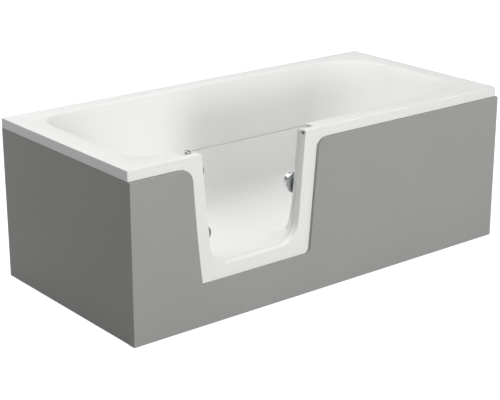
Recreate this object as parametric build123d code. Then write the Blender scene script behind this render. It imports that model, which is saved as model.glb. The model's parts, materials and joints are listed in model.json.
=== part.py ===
from build123d import *
import os
from math import hypot

# Walk-in bathtub with an inward swinging glass door, millimetres, +Z up.
# The origin is on the floor, under the middle of the whole object.
# X runs along the tub from the door end, Y from the front panel to the wall, Z up from the floor.

# Overall size
length = 1600.0
width = 750.0
height = 566.0
panel_proud = 11.0

# Moulded shell
wall = 6.0
skirt_height = 34.0
skirt_corner = 5.0
under_corner = 2.0
rim_edge = 2.5
basin_edge = 8.0
recess_edge = 4.0
floor_height = 144.0
floor_round = 88.0
land_left = 92.0
land_right = 88.0
land_front = 83.5
land_back = 78.5
bow_left = 8.0
bow_right = 16.0
bow_front = 14.0
bow_back = 13.0
floor_bow_share = 0.5
corner_left = 100.0
corner_right = 185.0
floor_corner_left = 100.0
floor_corner_right = 150.0
end_inset = 78.0
backrest_inset = 272.0
side_inset = 89.0
basin_over = 0.03

# Door recess, its seat and the doorway, measured from the left end and the front
recess_left = 219.0
recess_right = 749.0
recess_corner = 12.0
seat_depth = 28.0
recess_floor = 164.0
recess_reach = 200.0
doorway_left_top = 273.0
doorway_left_low = 310.0
doorway_right_top = 692.0
doorway_right_low = 658.5
doorway_round = 79.0
sill_height = 188.0
sill_edge = 3.0

# Moulded door surround, the outline that the front panel is cut to
surround_left_top = 231.0
surround_left_low = 262.5
surround_left_bulge = 2.5
surround_right_top = 740.0
surround_right_low = 707.5
surround_bottom = 141.5
surround_right_round = 20.0
flare_left = 37.0
flare_right = 56.0
flare_drop_left = 42.0
flare_drop_right = 25.0
flare_left_run = 0.3
flare_left_fall = 0.36
flare_right_share = 0.27
surround_lap = 10.0

# Panels
panel_skin = 4.0
panel_return = 33.0
panel_top_gap = 1.0
panel_floor_gap = 1.0
panel_edge = 1.5
panel_joint_gap = 0.5
end_return = 30.0

# Door glass
glass = 8.0
glass_front = 43.0
glass_left = 263.0
glass_right_top = 745.0
glass_right_low = 725.0
glass_bottom = 172.0
glass_low_round = 30.0
glass_top_round = 5.0
glass_chamfer = 0.6

# Door gasket
gasket_inset = 1.0
gasket_width = 6.0
gasket_top_gap = 6.0
face_gap = 0.3

# Hinge
hinge_x = 251.0
hinge_y = 44.5
rod_radius = 6.0
rod_bottom = 219.0
running_fit = 0.05
knuckle_radius = 10.5
knuckle_height = 30.0
knuckle_gap = 0.4
ear_height = 18.0
bracket_plate = 4.0
bracket_corner_gap = 0.5
bracket_right = 260.5
bracket_web = 7.0
hinge_high = 491.0
hinge_low = 282.0
pin_upper = 295.0
pin_lower = 320.0
disc_radius = 25.0
pad_thickness = 1.0
arm_thickness = 5.0
arm_height = 28.0
bolt_radius = 4.0
bolt_head_radius = 9.5
bolt_head = 2.8
bolt_fit = 0.2
dome_radius = 8.0
dome_height = 7.0
cap_radius = 9.0
cap_height = 4.0
cap_skirt = 7.0
screw_radius = 2.5
screw_head_radius = 4.5
screw_length = 22.0
screw_spacing = 16.0
screw_fit = 0.05
screw_seat_fit = 0.1

# Latch
latch_x = 692.0
latch_height = 377.0
rosette_radius = 36.0
rosette_thickness = 4.0
knob_radius = 27.0
knob_depth = 24.0
knob_waist = 3.0
knob_slot = 8.0
knob_scoop_share = 0.55
knob_bore_share = 0.6
spindle_radius = 5.0
bush_radius = 7.0
bush_flange_radius = 9.0
bush_flange = 2.0
cam_reach = 40.0
cam_half_width = 6.0
cam_thickness = 6.0
cam_seat_gap = 3.5
cam_screw_radius = 2.0
cam_screw_head = 6.5
cam_screw_head_height = 2.0
cam_screw_length = 14.0
keeper_left = 712.0
keeper_right = 736.0
keeper_screw_spacing = 12.0
keeper_lip = 3.0
keeper_play = 1.0
keeper_drop = 19.0
keeper_rise = 9.0
keeper_leg = 6.0
keeper_plate_height = 30.0
keeper_plate = 3.0

# Steel support frame and feet
board = 18.0
board_left = 400.0
board_right = 1140.0
board_margin = 42.0
tube = 30.0
tube_wall = 2.0
rail_from_front = 130.0
rail_from_back = 130.0
rail_from_end = 50.0
beam_places = (480.0, 800.0, 1110.0)
foot_places = (110.0, 720.0, 1490.0)
stud_radius = 6.0
stud_above_rail = 13.0
nut_radius = 11.0
nut_height = 9.0
pad_radius = 25.0
pad_height = 12.0
pad_top_radius = 16.0
support_left = 330.0
support_right = 640.0

# Battens under the rim, clips and brackets
batten_depth = 44.0
batten_height = 24.0
batten_gap = 6.0
clip_width = 40.0
clip_sheet = 2.0
front_clip_places = (110.0, 900.0, 1200.0, 1500.0)
end_clip_places = (200.0, 560.0)
clip_tab = 18.0
stay_places = (160.0, 850.0, 1440.0)
stay_width = 30.0
stay_sheet = 3.0
stay_tab = 34.0
bracket_places = (300.0, 1300.0)
wall_plate_width = 40.0
wall_plate_height = 52.0
wall_plate = 3.0
wall_hole_radius = 3.25
wall_hole_spacing = 28.0

# Waste, trap and outlet
waste_x = 320.0
waste_hole = 24.0
flange_radius = 35.0
flange_height = 2.5
waste_tube = 21.0
waste_bore = 18.0
waste_tube_length = 30.0
guide_radius = 7.0
guide_height = 8.0
guide_arm = 3.0
plug_radius = 30.0
plug_height = 5.0
plug_stem = 4.0
seal_height = 3.0
seal_radius = 36.0
body_flange = 5.0
body_radius = 28.0
body_floor = 96.0
spigot_outer = 20.0
spigot_bore = 16.0
trap_radius = 45.0
trap_wall = 3.0
trap_bottom = 14.0
trap_top = 74.0
trap_cover_height = 6.0
dip_bottom = 34.0
trap_nut_radius = 30.0
outlet_height = 48.0
outlet_radius = 20.0
outlet_bore = 18.0
outlet_nut_radius = 27.0
outlet_nut_length = 16.0
outlet_stub = 20.0
outlet_end_from_back = 40.0
socket_outer = 30.0
socket_bore = 25.25
socket_depth = 40.0

# Overflow
overflow_height = 474.0
overflow_radius = 35.0
overflow_ring = 6.0
overflow_hole = 20.0
overflow_knob_radius = 29.0
overflow_knob_height = 12.0
overflow_knob_gap = 0.4
overflow_spindle = 4.0
overflow_seal_height = 3.0
overflow_cup_radius = 30.0
overflow_cup_depth = 34.0
overflow_cup_wall = 3.0
overflow_neck_radius = 16.0
overflow_neck_drop = 46.0
pipe_outer = 13.0
pipe_bore = 11.0
pipe_bend = 40.0
pipe_height = 112.0
pipe_lap = 8.0

# Places worked out from the driving sizes
x_left = -length / 2
x_right = length / 2
y_panel = -(width + panel_proud) / 2
y_front = y_panel + panel_proud
y_back = y_front + width
depth = height - floor_height
skirt_bottom = height - skirt_height
panel_top = skirt_bottom - panel_top_gap
seat = y_front + seat_depth
glass_y = y_front + glass_front
glass_back = glass_y + glass
axis_x = x_left + hinge_x
axis_y = y_front + hinge_y
bracket_x = x_left + recess_left + recess_corner + bracket_corner_gap
screw_x = bracket_x + screw_head_radius + 1
board_top = floor_height - wall
rail_top = board_top - board
rail_bottom = rail_top - tube
rail_front = y_front + rail_from_front
rail_back = y_back - rail_from_back
batten_bottom = height - wall - batten_height
latch = x_left + latch_x
waste_at = x_left + waste_x
waste_y = (y_front + land_front + y_back - land_back) / 2
flange_top = floor_height + face_gap + flange_height
floor_breadth = width - land_front - land_back - 2 * side_inset
floor_round_right = min(floor_corner_right, 0.4 * floor_breadth)


def block(x0, x1, y0, y1, z0, z1):
    """A box given by its six faces."""
    middle = Pos((x0 + x1) / 2, (y0 + y1) / 2, (z0 + z1) / 2)
    return middle * Box(x1 - x0, y1 - y0, z1 - z0)


def upright(x, y, z0, z1, radius):
    """A cylinder that stands on z0 and ends at z1."""
    return Pos(x, y, (z0 + z1) / 2) * Cylinder(radius, z1 - z0)


def crosswise(x, z, y0, y1, radius):
    """A cylinder along Y, square to the door glass."""
    return Pos(x, (y0 + y1) / 2, z) * Rot(90, 0, 0) * Cylinder(radius, y1 - y0)


def slab(outline, y0, y1):
    """An outline drawn in X and Z, made solid from y0 to y1."""
    return extrude(Plane.XZ.offset(-y1) * outline, amount=y1 - y0)


def save(shape, name):
    """Writes one sub-part, or one group of like pieces, under its own name."""
    shape.label = name
    export_step(shape, os.path.join("parts", name + ".step"))


# Moulded shell

def basin_outline(share, grow):
    """The basin's plan outline, from the rim at share 0 to the floor at share 1."""
    left = x_left + land_left + share * end_inset - grow
    right = x_right - land_right - share * backrest_inset + grow
    front = y_front + land_front + share * side_inset - grow
    back = y_back - land_back - share * side_inset + grow
    bow = 1 - share * (1 - floor_bow_share)
    mid_x = (left + right) / 2
    mid_y = (front + back) / 2
    edges = [
        ThreePointArc((left, front), (mid_x, front - bow * bow_front), (right, front)),
        ThreePointArc((right, front), (right + bow * bow_right, mid_y), (right, back)),
        ThreePointArc((right, back), (mid_x, back + bow * bow_back), (left, back)),
        ThreePointArc((left, back), (left - bow * bow_left, mid_y), (left, front)),
    ]
    face = make_face(edges)
    left_round = corner_left + share * (floor_corner_left - corner_left) + grow
    right_round = corner_right + share * (floor_round_right - corner_right) + grow
    face = fillet([v for v in face.vertices() if v.X < mid_x], left_round)
    half = (back - front) / 2
    sharp = [v for v in face.vertices() if abs(v.X - right) < 1 and abs(abs(v.Y - mid_y) - half) < 1]
    return fillet(sharp, right_round)


def basin(grow, top_share, bottom_share, bottom_round):
    """The basin's form, a tapering loft with a big round where the walls meet the floor."""
    top = Pos(0, 0, height - depth * top_share) * basin_outline(top_share, grow)
    bottom_z = height - depth * bottom_share
    bottom = Pos(0, 0, bottom_z) * basin_outline(bottom_share, grow)
    body = loft([top.faces()[0], bottom.faces()[0]], ruled=True)
    low = [e for e in body.edges() if abs(e.center().Z - bottom_z) < 0.01]
    return fillet(low, bottom_round)


def doorway_outline(grow):
    """The doorway between the posts, open at the top, grown by the same amount all round."""
    over = 60.0
    low = sill_height - grow
    drop = height - sill_height
    slope_left = (doorway_left_low - doorway_left_top) / drop
    slope_right = (doorway_right_top - doorway_right_low) / drop
    left = x_left + doorway_left_low - grow * hypot(1, slope_left) + grow * slope_left
    right = x_left + doorway_right_low + grow * hypot(1, slope_right) - grow * slope_right
    rise = height + over - low
    top = low + rise
    corners = [(left - slope_left * rise, top), (left, low), (right, low), (right + slope_right * rise, top)]
    face = make_face(Polyline(*corners, close=True))
    return fillet([v for v in face.vertices() if v.Y < height], doorway_round + grow)


def surround_outline(grow):
    """The outline of the moulded surround, which flares into the skirt at both top corners."""
    top_left = x_left + surround_left_top - grow
    low_left = x_left + surround_left_low - grow
    top_right = x_left + surround_right_top + grow
    low_right = x_left + surround_right_low + grow
    low = surround_bottom - grow
    left_flare_z = skirt_bottom - flare_drop_left
    right_flare_z = skirt_bottom - flare_drop_right
    left_middle = ((top_left + low_left) / 2 - surround_left_bulge, (left_flare_z + low) / 2)
    left_curve = (top_left - flare_left_run * flare_left, skirt_bottom - flare_left_fall * flare_drop_left)
    right_share = flare_right_share
    right_curve = (top_right + right_share * flare_right, skirt_bottom - right_share * flare_drop_right)
    over = skirt_bottom + skirt_height / 2
    edges = [
        Line((top_left - flare_left, over), (top_left - flare_left, skirt_bottom)),
        ThreePointArc((top_left - flare_left, skirt_bottom), left_curve, (top_left, left_flare_z)),
        ThreePointArc((top_left, left_flare_z), left_middle, (low_left, low)),
        Line((low_left, low), (low_right, low)),
        Line((low_right, low), (top_right, right_flare_z)),
        ThreePointArc((top_right, right_flare_z), right_curve, (top_right + flare_right, skirt_bottom)),
        Line((top_right + flare_right, skirt_bottom), (top_right + flare_right, over)),
        Line((top_right + flare_right, over), (top_left - flare_left, over)),
    ]
    face = make_face(edges)
    corner = [v for v in face.vertices() if abs(v.X - low_right) < 1 and v.Y < low + 1]
    return fillet(corner, surround_right_round + grow)


def hinge_screw_heights():
    """Heights of the hinge bracket screws, one pair to a bracket."""
    return [z + side * screw_spacing for z in (hinge_high, hinge_low) for side in (-1, 1)]


def keeper_screws_at():
    """Places of the two keeper screws, in X and Z."""
    middle = (keeper_left + keeper_right) / 2
    z = latch_height + keeper_rise + keeper_leg + keeper_plate_height / 2
    return [(x_left + middle + side * keeper_screw_spacing / 2, z) for side in (-1, 1)]


def overflow_frame():
    """The plane of the left end wall at the overflow, its normal pointing into the basin."""
    share = (height - overflow_height) / depth
    bow = 1 - share * (1 - floor_bow_share)
    x = x_left + land_left + share * end_inset - bow * bow_left
    run = end_inset + bow_left * (1 - floor_bow_share)
    size = hypot(run, depth)
    normal = (depth / size, 0, run / size)
    return Plane(origin=(x, waste_y, overflow_height), x_dir=(0, 1, 0), z_dir=normal)


def tub_shell():
    """One moulding: rim, skirt, basin, door recess, jambs and surround."""
    inner = basin(0.0, -basin_over, 1.0, floor_round)
    outer = basin(wall, 0.0, (depth + wall) / depth, floor_round + wall)
    rim = block(x_left, x_right, y_front, y_back, skirt_bottom, height)
    rim = fillet(rim.edges().filter_by(Axis.Z), skirt_corner)
    rim = fillet(rim.faces().sort_by(Axis.Z)[-1].edges(), rim_edge)
    inside = x_right - wall
    under = block(-inside, inside, y_front + wall, y_back - wall, skirt_bottom - 1, height - wall)
    under = fillet(under.edges().filter_by(Axis.Z), under_corner)
    surround = slab(surround_outline(surround_lap), y_front, seat)
    surround -= block(x_left, x_right, y_front - 1, seat + 1, height - wall, height + skirt_height)
    left = x_left + recess_left
    right = x_left + recess_right
    reach = y_front + recess_reach
    recess_case = block(left - wall, right + wall, seat - wall, reach, recess_floor - wall, height - 1)
    recess_case = fillet(recess_case.edges().filter_by(Axis.X).sort_by(Axis.Z)[0:1], 1)
    recess = block(left, right, seat, reach + 60, recess_floor, height + 20)
    seat_corners = recess.edges().filter_by(Axis.Z).group_by(Axis.Y)[0]
    low = [e for e in recess.edges() if lies_on(e, recess_floor) and e.center().Y < reach]
    recess = fillet(list(seat_corners) + low, recess_corner)
    doorway = slab(doorway_outline(0.0), y_front - 1, seat + 1)
    shell = (rim - under) + outer + surround + recess_case
    shell = shell - inner - recess - doorway
    return soften(shell)


def soften(shell):
    """Rounds the doorway's front edges, then the rim's inner edge, then the recess's top edges."""
    shell = fillet([e for e in shell.edges() if around_doorway(e)], sill_edge)
    shell = fillet([e for e in rim_edges(shell) if e.geom_type == GeomType.BSPLINE], basin_edge)
    return fillet([e for e in rim_edges(shell) if e.geom_type != GeomType.BSPLINE], recess_edge)


def rim_edges(shell):
    """The edges of the rim's inner outline."""
    return [e for e in shell.edges() if lies_on(e, height) and within_rim(e)]


def around_doorway(edge):
    """True for an edge of the doorway on the shell's front face."""
    box = edge.bounding_box()
    on_front = abs(box.min.Y - y_front) < 0.01 and abs(box.max.Y - y_front) < 0.01
    margin = sill_edge
    between = x_left + doorway_left_top - margin < edge.center().X < x_left + doorway_right_top + margin
    return on_front and between and (surround_bottom + sill_height) / 2 < box.min.Z


def lies_on(edge, z):
    """True for an edge that lies at one height."""
    box = edge.bounding_box()
    return abs(box.min.Z - z) < 0.01 and abs(box.max.Z - z) < 0.01


def within_rim(edge):
    """True for an edge of the rim's inner outline, inside the outer edge's round."""
    middle = edge.center()
    margin = 2 * rim_edge
    return abs(middle.X) < x_right - margin and y_front + margin < middle.Y < y_back - margin


def drill_shell(shell):
    """Holes for the waste, the overflow and the screws that go into the jambs."""
    shell -= upright(waste_at, waste_y, floor_height - wall - 1, floor_height + 1, waste_hole)
    frame = overflow_frame()
    shell -= frame * Cylinder(overflow_hole, 6 * wall)
    for z in hinge_screw_heights():
        shell -= crosswise(screw_x, z, seat - screw_length, seat, screw_radius + screw_fit)
    for x, z in keeper_screws_at():
        shell -= crosswise(x, z, seat - screw_length, seat, screw_radius + screw_fit)
    return shell


# Steel frame, board and feet

def base_board():
    """The board bonded under the basin floor."""
    inset = land_front + side_inset + board_margin
    x0 = x_left + board_left
    x1 = x_left + board_right
    return block(x0, x1, y_front + inset, y_back - inset, rail_top, board_top)


def tube_along(x0, x1, y0, y1, z0, z1, axis):
    """A square steel tube between two corners, hollow along the axis named."""
    t = tube_wall
    inset = {"x": (0, t, t), "y": (t, 0, t), "z": (t, t, 0)}[axis]
    hollow = block(x0 + inset[0], x1 - inset[0], y0 + inset[1], y1 - inset[1], z0 + inset[2], z1 - inset[2])
    return block(x0, x1, y0, y1, z0, z1) - hollow


def rail(y):
    """A long rail of the support frame, bored for its feet."""
    x0 = x_left + rail_from_end - tube / 2
    body = tube_along(x0, -x0, y - tube / 2, y + tube / 2, rail_bottom, rail_top, "x")
    for x in foot_places:
        body -= upright(x_left + x, y, rail_bottom - 1, rail_top + 1, stud_radius + running_fit)
    return body


def cross_beams():
    """The beams welded between the two rails, three under the board and one at each end."""
    ends = (rail_from_end, length - rail_from_end)
    front = rail_front + tube / 2
    back = rail_back - tube / 2
    beams = []
    for x in sorted(beam_places + ends):
        x0 = x_left + x - tube / 2
        beams.append(tube_along(x0, x0 + tube, front, back, rail_bottom, rail_top, "y"))
    return Compound(children=beams)


def corner_uprights():
    """Four tubes from the rails up to the battens under the rim."""
    posts = []
    half = tube / 2
    for x in (x_left + rail_from_end, x_right - rail_from_end):
        for y in (rail_front, rail_back):
            post = tube_along(x - half, x + half, y - half, y + half, rail_top, batten_bottom, "z")
            posts.append(post)
    return Compound(children=posts)


def threshold_support():
    """The timber block that carries the sill, where people step."""
    top = recess_floor - wall
    y0 = rail_front - tube / 2
    return block(x_left + support_left, x_left + support_right, y0, y0 + tube, rail_top, top)


def at_feet(make):
    """One piece at each foot, as a group."""
    return Compound(children=[make(x_left + x, y) for y in (rail_front, rail_back) for x in foot_places])


def foot_stud(x, y):
    return upright(x, y, pad_height / 2, rail_top + stud_above_rail, stud_radius)


def foot_pad(x, y):
    """A round foot with a stepped top, bored for its stud."""
    base = upright(x, y, 0, pad_height / 2, pad_radius)
    base = chamfer(base.faces().sort_by(Axis.Z)[-1].edges(), pad_height / 6)
    top = upright(x, y, pad_height / 2, pad_height, pad_top_radius)
    return base + top - upright(x, y, pad_height / 2, pad_height + 1, stud_radius)


def foot_nuts():
    """Two lock nuts on each stud, above and below the rail."""
    nuts = []
    for y in (rail_front, rail_back):
        for x in foot_places:
            for z in (rail_bottom - nut_height, rail_top):
                nut = Pos(x_left + x, y, z) * extrude(RegularPolygon(nut_radius, 6), amount=nut_height)
                nuts.append(nut - upright(x_left + x, y, z - 1, z + nut_height + 1, stud_radius))
    return Compound(children=nuts)


# Battens, clips and wall brackets

def batten(side):
    """A timber batten bonded under the rim on one side."""
    near = wall + batten_gap
    far = near + batten_depth
    top = height - wall
    left_end = x_left + rail_from_end - tube / 2
    front_inner = y_front + far + batten_gap
    back_inner = y_back - far - batten_gap
    surround_l = x_left + surround_left_top - flare_left - surround_lap
    surround_r = x_left + surround_right_top + flare_right + surround_lap
    boxes = {
        "front_left": (left_end, surround_l - batten_gap, y_front + near, y_front + far),
        "front_right": (surround_r + batten_gap, -left_end, y_front + near, y_front + far),
        "back": (left_end, -left_end, y_back - far, y_back - near),
        "left": (x_left + near, x_left + far, front_inner, back_inner),
        "right": (x_right - far + 2, x_right - near, front_inner, back_inner),
    }
    return block(*boxes[side], batten_bottom, top)


def panel_clip(place, width_at):
    """A sheet clip under a batten that holds up a panel's top return, drawn at the front."""
    t = clip_sheet
    return_low = panel_top - panel_skin
    leg = place + panel_return - panel_proud
    foot = block(-width_at / 2, width_at / 2, leg + t - clip_tab, leg + 2 * t, return_low - t, return_low)
    upright_leg = block(-width_at / 2, width_at / 2, leg + t, leg + 2 * t, return_low - t, batten_bottom)
    tab = block(-width_at / 2, width_at / 2, leg + t, leg + t + clip_tab, batten_bottom - t, batten_bottom)
    return foot + upright_leg + tab


def panel_clips():
    """Clips along the front and at both ends."""
    clips = []
    front = panel_clip(y_front, clip_width)
    for x in front_clip_places:
        clips.append(Pos(x_left + x, 0, 0) * front)
    reach = end_return - (panel_return - panel_proud) + panel_joint_gap
    end = panel_clip(reach, clip_width)
    for y in end_clip_places:
        clips.append(Pos(x_left, y_front + y, 0) * Rot(0, 0, -90) * end)
        clips.append(Pos(x_right, y_front + y, 0) * Rot(0, 0, 90) * end)
    return Compound(children=clips)


def panel_stays():
    """Flat steel stays from the front rail that keep the front panel from being pushed in."""
    stays = []
    inner = y_panel + panel_skin
    for x in stay_places:
        x0 = x_left + x - stay_width / 2
        x1 = x0 + stay_width
        arm = block(x0, x1, inner, rail_front, rail_bottom - stay_sheet, rail_bottom)
        tab = block(x0, x1, inner, inner + stay_sheet, rail_bottom - stay_tab, rail_bottom)
        stays.append(arm + tab)
    return Compound(children=stays)


def wall_bracket(x):
    """An angle from the back batten down to a plate with two holes on the wall."""
    x0 = x_left + x - wall_plate_width / 2
    x1 = x0 + wall_plate_width
    t = wall_plate
    inner = y_back - wall - batten_gap
    plate_top = skirt_bottom - 2 * t
    tab = block(x0, x1, inner - batten_depth, inner, batten_bottom - t, batten_bottom)
    leg = block(x0, x1, inner - t, inner, plate_top - t, batten_bottom)
    step = block(x0, x1, inner - t, y_back, plate_top - t, plate_top)
    plate = block(x0, x1, y_back - t, y_back, plate_top - wall_plate_height, plate_top)
    body = tab + leg + step + plate
    for side in (-1, 1):
        z = plate_top - wall_plate_height / 2 + side * wall_hole_spacing / 2 - t
        body -= crosswise(x_left + x, z, y_back - 2 * t, y_back + 1, wall_hole_radius)
    return body


# Panels

def front_panel():
    """A formed tray with returns, cut out round the door surround, with a return at the cut."""
    back = y_panel + panel_return
    tray = block(x_left, x_right, y_panel, back, panel_floor_gap, panel_top)
    long_edges = tray.faces().sort_by(Axis.Y)[0].edges()
    tray = fillet(long_edges, panel_edge)
    inside = block(x_left + panel_skin, x_right - panel_skin, y_panel + panel_skin, back + 1,
                   panel_floor_gap + panel_skin, panel_top - panel_skin)
    tray -= inside
    case = slab(surround_outline(panel_skin), y_panel + panel_skin / 2, y_front - face_gap)
    case = case & block(x_left, x_right, y_panel, y_front, panel_floor_gap, panel_top)
    tray = tray + case
    tray -= slab(surround_outline(surround_lap + face_gap), y_front - face_gap, back + 1)
    return tray - slab(surround_outline(0.0), y_panel - 1, y_front)


def end_panel(side):
    """A formed tray that closes one end, flush with the rim. side is -1 at the door end."""
    front = y_panel + panel_return + panel_joint_gap
    outer = x_right - panel_joint_gap
    tray = block(outer - end_return, outer, front, y_back, panel_floor_gap, panel_top)
    tray = fillet(tray.faces().sort_by(Axis.X)[-1].edges(), panel_edge)
    tray -= block(outer - end_return - 1, outer - panel_skin, front + panel_skin, y_back - panel_skin,
                  panel_floor_gap + panel_skin, panel_top - panel_skin)
    if side < 0:
        tray = mirror(tray, about=Plane.YZ)
    return tray


# Door, its seal and its hinges

def door_gasket():
    """A rubber strip on the seat, round the doorway on three sides."""
    ring = slab(doorway_outline(gasket_inset + gasket_width), seat, glass_y - face_gap)
    ring -= slab(doorway_outline(gasket_inset), seat - 1, glass_y)
    ring -= block(x_left, x_right, seat - 1, glass_y + 1, height - gasket_top_gap, height + 2 * skirt_height)
    edges = ring.faces().sort_by(Axis.Y)[-1].edges()
    return fillet(edges, gasket_width / 4)


def hinge_pins():
    """Where the glass is drilled for the two hinges, in X and Z."""
    return [(x_left + pin_upper, hinge_high), (x_left + pin_lower, hinge_low)]


def door_glass():
    """The pane, drilled for two hinge bolts and the latch."""
    corners = [
        (x_left + glass_left, height),
        (x_left + glass_left, glass_bottom),
        (x_left + glass_right_low, glass_bottom),
        (x_left + glass_right_top, height),
    ]
    face = make_face(Polyline(*corners, close=True))
    face = fillet([v for v in face.vertices() if v.Y < height - 1], glass_low_round)
    face = fillet([v for v in face.vertices() if v.Y > height - 1], glass_top_round)
    pane = slab(face, glass_y, glass_back)
    sides = pane.faces().sort_by(Axis.Y)
    pane = chamfer(sides[-1].edges() + sides[0].edges(), glass_chamfer)
    for x, z in hinge_pins():
        pane -= crosswise(x, z, glass_y - 1, glass_back + 1, bolt_radius + bolt_fit)
    return pane - crosswise(latch, latch_height, glass_y - 1, glass_back + 1, bush_radius)


def hinge_rod():
    """The rod that the door turns on, up to the level of the rim."""
    return upright(axis_x, axis_y, rod_bottom, height, rod_radius)


def hinge_cap():
    """The domed cap over the top of the rod."""
    cap = upright(axis_x, axis_y, height, height + cap_height, cap_radius)
    cap = fillet(cap.faces().sort_by(Axis.Z)[-1].edges(), cap_height * 0.6)
    skirt = upright(axis_x, axis_y, height - cap_skirt, height, cap_radius)
    return cap + skirt - upright(axis_x, axis_y, height - cap_skirt - 1, height, rod_radius + running_fit)


def hinge_bracket(z):
    """A fork screwed to the seat, with an ear above and an ear below the door's knuckle."""
    inner = knuckle_height / 2 + knuckle_gap
    outer = inner + ear_height
    body = block(bracket_x, x_left + bracket_right, seat, seat + bracket_plate, z - outer, z + outer)
    for low in (z - outer, z + inner):
        body += upright(axis_x, axis_y, low, low + ear_height, knuckle_radius)
        body += block(axis_x - bracket_web, axis_x + bracket_web, seat, axis_y, low, low + ear_height)
    body -= upright(axis_x, axis_y, z - outer - 1, z + outer + 1, rod_radius + running_fit)
    for side in (-1, 1):
        body -= screw_form(screw_x, z + side * screw_spacing, seat + bracket_plate, screw_seat_fit)
    return body


def screw_form(x, z, face_y, grow):
    """A countersunk screw along Y, its head flush with face_y and its point towards the front."""
    shank = crosswise(x, z, seat - screw_length + 1, face_y - face_gap, screw_radius + grow / 2)
    head_length = screw_head_radius - screw_radius
    cone = Pos(x, face_y - head_length / 2, z) * Rot(90, 0, 0) * Cone(
        screw_head_radius + grow, screw_radius + grow, head_length)
    return shank + cone


def hinge_bracket_screws():
    """Two countersunk screws to each hinge bracket."""
    face = seat + bracket_plate
    return Compound(children=[screw_form(screw_x, z, face, 0.0) for z in hinge_screw_heights()])


def hinge_arm(x, z):
    """A knuckle on the rod with an arm over the inner face of the glass, ending in a disc."""
    y0 = glass_back + pad_thickness
    y1 = y0 + arm_thickness
    knuckle = upright(axis_x, axis_y, z - knuckle_height / 2, z + knuckle_height / 2, knuckle_radius)
    disc = crosswise(x, z, y0, y1, disc_radius)
    arm = block(axis_x - bracket_web, x, y0, y1, z - arm_height / 2, z + arm_height / 2)
    half = arm_height / 2
    web = block(axis_x - bracket_web, axis_x + bracket_web, axis_y, y1, z - half, z + half)
    body = knuckle + disc + arm + web
    body -= upright(axis_x, axis_y, z - knuckle_height, z + knuckle_height, rod_radius + running_fit)
    return body - crosswise(x, z, y0 - 1, y1 + 1, bolt_radius + bolt_fit)


def hinge_pads():
    """Fibre pads between the arms and the glass."""
    pads = []
    for x, z in hinge_pins():
        pad = crosswise(x, z, glass_back, glass_back + pad_thickness, disc_radius - 1)
        pads.append(pad - crosswise(x, z, glass_back - 1, glass_back + 2, bolt_radius + bolt_fit))
    return Compound(children=pads)


def hinge_bolts():
    """Low-headed bolts through the glass."""
    bolts = []
    end = glass_back + pad_thickness + arm_thickness + dome_height - 2
    for x, z in hinge_pins():
        head = crosswise(x, z, glass_y - bolt_head, glass_y, bolt_head_radius)
        head = fillet(head.faces().sort_by(Axis.Y)[0].edges(), bolt_head * 0.5)
        bolts.append(head + crosswise(x, z, glass_y - 1, end, bolt_radius))
    return Compound(children=bolts)


def hinge_nuts():
    """Domed nuts on the inner side of the arms."""
    nuts = []
    y0 = glass_back + pad_thickness + arm_thickness
    for x, z in hinge_pins():
        nut = crosswise(x, z, y0, y0 + dome_height, dome_radius)
        nut = fillet(nut.faces().sort_by(Axis.Y)[-1].edges(), dome_height * 0.5)
        nuts.append(nut - crosswise(x, z, y0 - 1, y0 + dome_height - 2, bolt_radius))
    return Compound(children=nuts)


# Latch

def latch_bush():
    """A flanged bush through the glass for the latch spindle."""
    tube_part = crosswise(latch, latch_height, glass_y - bush_flange, glass_back, bush_radius)
    flange = crosswise(latch, latch_height, glass_y - bush_flange, glass_y, bush_flange_radius)
    bore_radius = spindle_radius + running_fit
    bore = crosswise(latch, latch_height, glass_y - bush_flange - 1, glass_back + 1, bore_radius)
    return tube_part + flange - bore


def latch_rosette():
    """The round plate between the glass and the knob."""
    plate = crosswise(latch, latch_height, glass_back, glass_back + rosette_thickness, rosette_radius)
    plate = fillet(plate.faces().sort_by(Axis.Y)[-1].edges(), rosette_thickness / 2)
    return plate - crosswise(latch, latch_height, glass_back - 1, glass_back + rosette_thickness + 1,
                             spindle_radius + running_fit)


def knob_base():
    """Where the knob starts, a running gap off its rosette."""
    return glass_back + rosette_thickness + face_gap


def latch_knob():
    """A round knob with a waisted side and a slot across its face for the fingers."""
    y0 = knob_base()
    y1 = y0 + knob_depth
    body = crosswise(latch, latch_height, y0, y1, knob_radius)
    waist = Torus(knob_radius + knob_slot - knob_waist, knob_slot)
    body -= Pos(latch, (y0 + y1) / 2, latch_height) * Rot(90, 0, 0) * waist
    rims = [e for e in body.edges() if e.geom_type == GeomType.CIRCLE and e.radius > knob_radius - 0.01]
    body = fillet(rims, 1.0)
    for side in (-1, 1):
        scoop_x = latch + side * knob_radius * knob_scoop_share
        body -= crosswise(scoop_x, latch_height, y1 - knob_depth / 3, y1 + 1, knob_slot)
    bore = crosswise(latch, latch_height, y0 - 1, y0 + knob_depth * knob_bore_share, spindle_radius)
    return body - bore


def latch_spindle():
    """The spindle from the cam through the glass into the knob."""
    y0 = seat + cam_seat_gap
    body = crosswise(latch, latch_height, y0, knob_base() + knob_depth * knob_bore_share, spindle_radius)
    return body - crosswise(latch, latch_height, y0 - 1, y0 + cam_screw_length, cam_screw_radius)


def latch_cam():
    """The cam in its released place, hanging straight down."""
    y0 = seat + cam_seat_gap
    y1 = y0 + cam_thickness
    hub = crosswise(latch, latch_height, y0, y1, cam_half_width + 1)
    low = latch_height - cam_reach
    arm = block(latch - cam_half_width, latch + cam_half_width, y0, y1, low, latch_height)
    arm = fillet(arm.edges().filter_by(Axis.Y).group_by(Axis.Z)[0], cam_half_width - 1)
    return hub + arm - crosswise(latch, latch_height, y0 - 1, y1 + 1, spindle_radius)


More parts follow.
